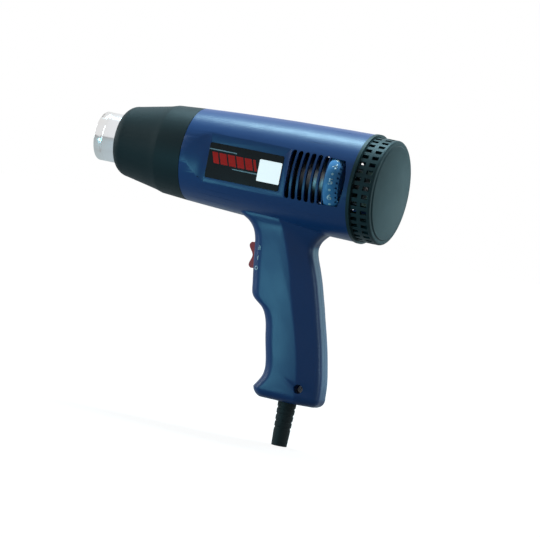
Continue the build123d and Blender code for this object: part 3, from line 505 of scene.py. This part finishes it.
def laid(name, shape, surface, ray, thickness, finish, body):
    """Projects a flat shape on a surface, thickens it and adds it as a piece of a body."""
    for vertex in shape.verts:
        start, towards = ray(vertex.co)
        hit = surface.ray_cast(start, towards)[0]
        vertex.co = hit - towards * thickness * sunk_share
    raised = bmesh.ops.extrude_face_region(shape, geom=list(shape.faces))["geom"]
    tops = [item for item in raised if isinstance(item, bmesh.types.BMVert)]
    for vertex in tops:
        vertex.co -= ray(vertex.co)[1] * thickness
    bmesh.ops.recalc_face_normals(shape, faces=shape.faces)
    mesh = bpy.data.meshes.new(name)
    shape.to_mesh(mesh)
    shape.free()
    mesh.materials.append(finish)
    piece = bpy.data.objects.new(name, mesh)
    bpy.context.scene.collection.objects.link(piece)
    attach(piece, body)


def from_the_left(spot):
    """A ray that comes from the photographed side."""
    return Vector((spot.x, cad_box[0][1] - clear_of_tool, spot.z)), Vector((0, 1, 0))


# %% [markdown]
# A blank white sticker covers the rear end of the label. It is a sheet with round corners, so it
# starts as one square face whose corners are bevelled.

# %% White sticker
sticker_middle = Vector((ahead(86.2 * mm), 0, barrel_height - 2.0 * mm))
sticker_length = 19.4 * mm
sticker_height = 17.0 * mm
sticker_corner = 0.8 * mm
corner_segments = 5
sticker = bmesh.new()
bmesh.ops.create_grid(sticker, x_segments=1, y_segments=1, size=0.5)
bmesh.ops.scale(sticker, verts=sticker.verts, vec=(sticker_length, sticker_height, 1))
bmesh.ops.bevel(
    sticker, geom=sticker.verts, offset=sticker_corner, segments=corner_segments, profile=0.5,
    affect="VERTICES", material=-1,
)
seat = Matrix.Translation(sticker_middle) @ upright
bmesh.ops.transform(sticker, verts=sticker.verts, matrix=seat)
laid(
    "blank_sticker", sticker, surface_of("label_plate"), from_the_left, film_thickness,
    finishes["blank_film"], "housing",
)

# %% [markdown]
# Three signs stand beside the rocker: two speeds and off. Text is a curve at first, so it becomes a
# mesh before it is placed, and its strokes are made a little bolder, as pad printing makes them.

# %% Signs beside the rocker
capital_share = 0.7
boldness = 0.04
curve_steps = 3
nearly_one = 0.02 * mm


def text_shape(words, height):
    """Flat text, centred on the origin, as a bmesh."""
    curve = bpy.data.curves.new("words", "FONT")
    curve.body = words
    curve.size = height / capital_share
    curve.align_x = "CENTER"
    curve.align_y = "CENTER"
    curve.resolution_u = curve_steps
    curve.offset = height * boldness
    carrier = bpy.data.objects.new("words", curve)
    mesh = bpy.data.meshes.new_from_object(carrier)
    shape = bmesh.new()
    shape.from_mesh(mesh)
    bmesh.ops.remove_doubles(shape, verts=shape.verts, dist=nearly_one)
    bpy.data.objects.remove(carrier)
    bpy.data.curves.remove(curve)
    bpy.data.meshes.remove(mesh)
    return shape


sign_place = ahead(90.0 * mm)
sign_drops = (61.5 * mm, 69.5 * mm, 77.5 * mm)
sign_height = 3.2 * mm
shell = surface_of("housing_left")
for words, drop in zip(("II", "I", "O"), sign_drops):
    sign = text_shape(words, sign_height)
    seat = Matrix.Translation((sign_place, 0, barrel_height - drop)) @ upright
    bmesh.ops.transform(sign, verts=sign.verts, matrix=seat)
    laid(
        "switch_sign_" + words, sign, shell, from_the_left, ink_thickness,
        finishes["white_paint"], "housing",
    )

# %% [markdown]
# The dial carries plain numbers with a dot between each two. A row of text would be straight, so
# each sign is turned round the dial's axis to its own place, and the rays that lay it down run
# towards that axis.

# %% Numbers on the dial
dial_low, dial_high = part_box("heat_dial")
dial_middle = (dial_low + dial_high) / 2
dial_radius = (dial_high.z - dial_low.z) / 2
wheel = surface_of("heat_dial")
number_step = math.radians(30)
number_height = 5.6 * mm
dot_radius = 1.1 * mm
dot_segments = 14
last_number = 9
number_in_front = 5
start_radii = 1.5
print_radii = 1.2


def dot_shape():
    """A flat disc, as a bmesh."""
    shape = bmesh.new()
    bmesh.ops.create_circle(shape, cap_ends=True, segments=dot_segments, radius=dot_radius)
    return shape


def towards_dial_axis(spot):
    """A ray from outside the wheel to its axis."""
    inwards = Vector((0, dial_middle.y - spot.y, dial_middle.z - spot.z)).normalized()
    axis = Vector((spot.x, dial_middle.y, dial_middle.z))
    return axis - inwards * dial_radius * start_radii, inwards


def print_on_dial(name, shape, angle):
    """Stands a flat sign on the wheel's left side, turns it round the axis and lays it down."""
    left = Vector((0, -dial_radius * print_radii, 0))
    out = Matrix.Translation(dial_middle + left)
    turn = (
        Matrix.Translation(dial_middle) @ Matrix.Rotation(-angle, 4, "X")
        @ Matrix.Translation(-dial_middle)
    )
    bmesh.ops.transform(shape, verts=shape.verts, matrix=turn @ out @ upright)
    laid(
        name, shape, wheel, towards_dial_axis, ink_thickness,
        finishes["white_paint"], "dial",
    )


for number in range(1, last_number + 1):
    angle = (number_in_front - number) * number_step
    print_on_dial(f"dial_number_{number}", text_shape(str(number), number_height), angle)
    if number < last_number:
        print_on_dial(f"dial_dot_{number}", dot_shape(), angle - number_step / 2)
print("signs and numbers laid")

# %% [markdown]
# Soft light comes from a long panel above and a little behind the tool, which draws the broad
# bright band along the barrel. A panel at the nozzle's side lights whatever faces forwards. A small
# one stands low beside the grip, where the grip's flat facet mirrors it, and a narrow one on the
# other side draws the streak down the grip's rear. The last one stands where the flat rear face
# mirrors it. The panels are strong and the world is dim, so that the side towards the camera stays
# deep blue, while the world is still white where the camera or a mirror sees it.


# %% Lights
def panel_light(name, azimuth, elevation, distance, width, height, level, tint):
    """A soft light, turned from the camera's side, that lights what faces it to this level."""
    towards = direction(camera_azimuth + math.radians(azimuth), math.radians(elevation))
    data = bpy.data.lights.new(name, "AREA")
    data.shape = "RECTANGLE"
    data.size = width
    data.size_y = height
    data.energy = level * math.pi ** 2 * distance ** 2
    data.color = tint
    light = bpy.data.objects.new(name, data)
    turn = towards.to_track_quat("Z", "Y").to_matrix().to_4x4()
    light.matrix_world = Matrix.Translation(centre + towards * distance) @ turn
    bpy.context.scene.collection.objects.link(light)
    print(name, "panel", round(data.energy, 1), "W")


# Name, azimuth and elevation in degrees, distance, width and height in metres, level, tint
panel_rows = [
    ("overhead", 170, 74, 1.2, 1.1, 0.18, 2.20, (0.54, 0.87, 1.0)),
    ("nozzle_side", -98, 10, 1.3, 0.25, 1.0, 0.36, (0.82, 0.97, 1.0)),
    ("grip_strip", -50, -9, 0.42, 0.03, 0.12, 0.31, (0.24, 0.80, 1.0)),
    ("rear_strip", 76, 18, 1.3, 0.10, 0.9, 0.26, (0.6, 0.88, 1.0)),
    ("rear_rim", 134, 2, 1.3, 0.6, 1.0, 0.15, (0.3, 0.85, 1.0)),
]
for row in panel_rows:
    panel_light(*row)

ambient = 0.02
mirrored = 0.85
world = bpy.data.worlds.new("studio")
bpy.context.scene.world = world
world.use_nodes = True
sky = world.node_tree.nodes["Background"]
sky.inputs["Color"].default_value = (1, 1, 1, 1)
rays = world.node_tree.nodes.new("ShaderNodeLightPath")


def join_world(operation, first, second, third=0.0):
    """One Math node of the world, from links or numbers."""
    made = world.node_tree.nodes.new("ShaderNodeMath")
    made.operation = operation
    for socket, value in zip(made.inputs, (first, second, third)):
        if isinstance(value, bpy.types.NodeSocket):
            world.node_tree.links.new(value, socket)
        else:
            socket.default_value = value
    return made.outputs[0]


mirrors = join_world("MAXIMUM", rays.outputs["Is Glossy Ray"], rays.outputs["Is Transmission Ray"])
mirrors = join_world("MULTIPLY", mirrors, mirrored - ambient)
seen = join_world("MULTIPLY_ADD", rays.outputs["Is Camera Ray"], 1 - ambient, mirrors)
level = join_world("ADD", seen, ambient)
world.node_tree.links.new(level, sky.inputs["Strength"])

# %% [markdown]
# The floor is a plain sheet under the tool's lowest point. To the camera it glows nearly up to the
# white of the background, and its own shading is added to that, so that it looks pale and keeps
# the tool's shadow. Mirrors see a dimmer floor.

# %% Floor
floor_size = 6.0
floor_clearance = 0.2 * mm
glow_near = 0.91
glow_rise = 0.09
glow_from = 0.2
glow_to = 1.6
glow_in_mirrors = 0.35
floor_mesh = bpy.data.meshes.new("floor")
sheet = bmesh.new()
bmesh.ops.create_grid(sheet, x_segments=1, y_segments=1, size=floor_size)
bmesh.ops.translate(sheet, verts=sheet.verts, vec=(0, 0, cad_box[0][2] - floor_clearance))
sheet.to_mesh(floor_mesh)
sheet.free()
floor = bpy.data.objects.new("floor", floor_mesh)
bpy.context.scene.collection.objects.link(floor)
pale = Finish("pale_floor", (0.12, 0.12, 0.12), 0.9)
camera_ray = pale.node("ShaderNodeLightPath", output="Is Camera Ray")
mirror_ray = pale.node("ShaderNodeLightPath", output="Is Glossy Ray")
x, y, z = pale.coordinates()
distance = (x * x + y * y).root()
away = pale.steps(distance, glow_from, glow_to)
strength = camera_ray * (away * glow_rise + glow_near) + mirror_ray * glow_in_mirrors
glow = pale.node("ShaderNodeEmission", None, {"Strength": strength})
both = pale.node("ShaderNodeAddShader", None, {0: glow, 1: Wire(pale, pale.shader.outputs[0])})
surface = pale.material.node_tree.nodes["Material Output"].inputs["Surface"]
pale.join(surface, both)
floor_mesh.materials.append(pale.material)
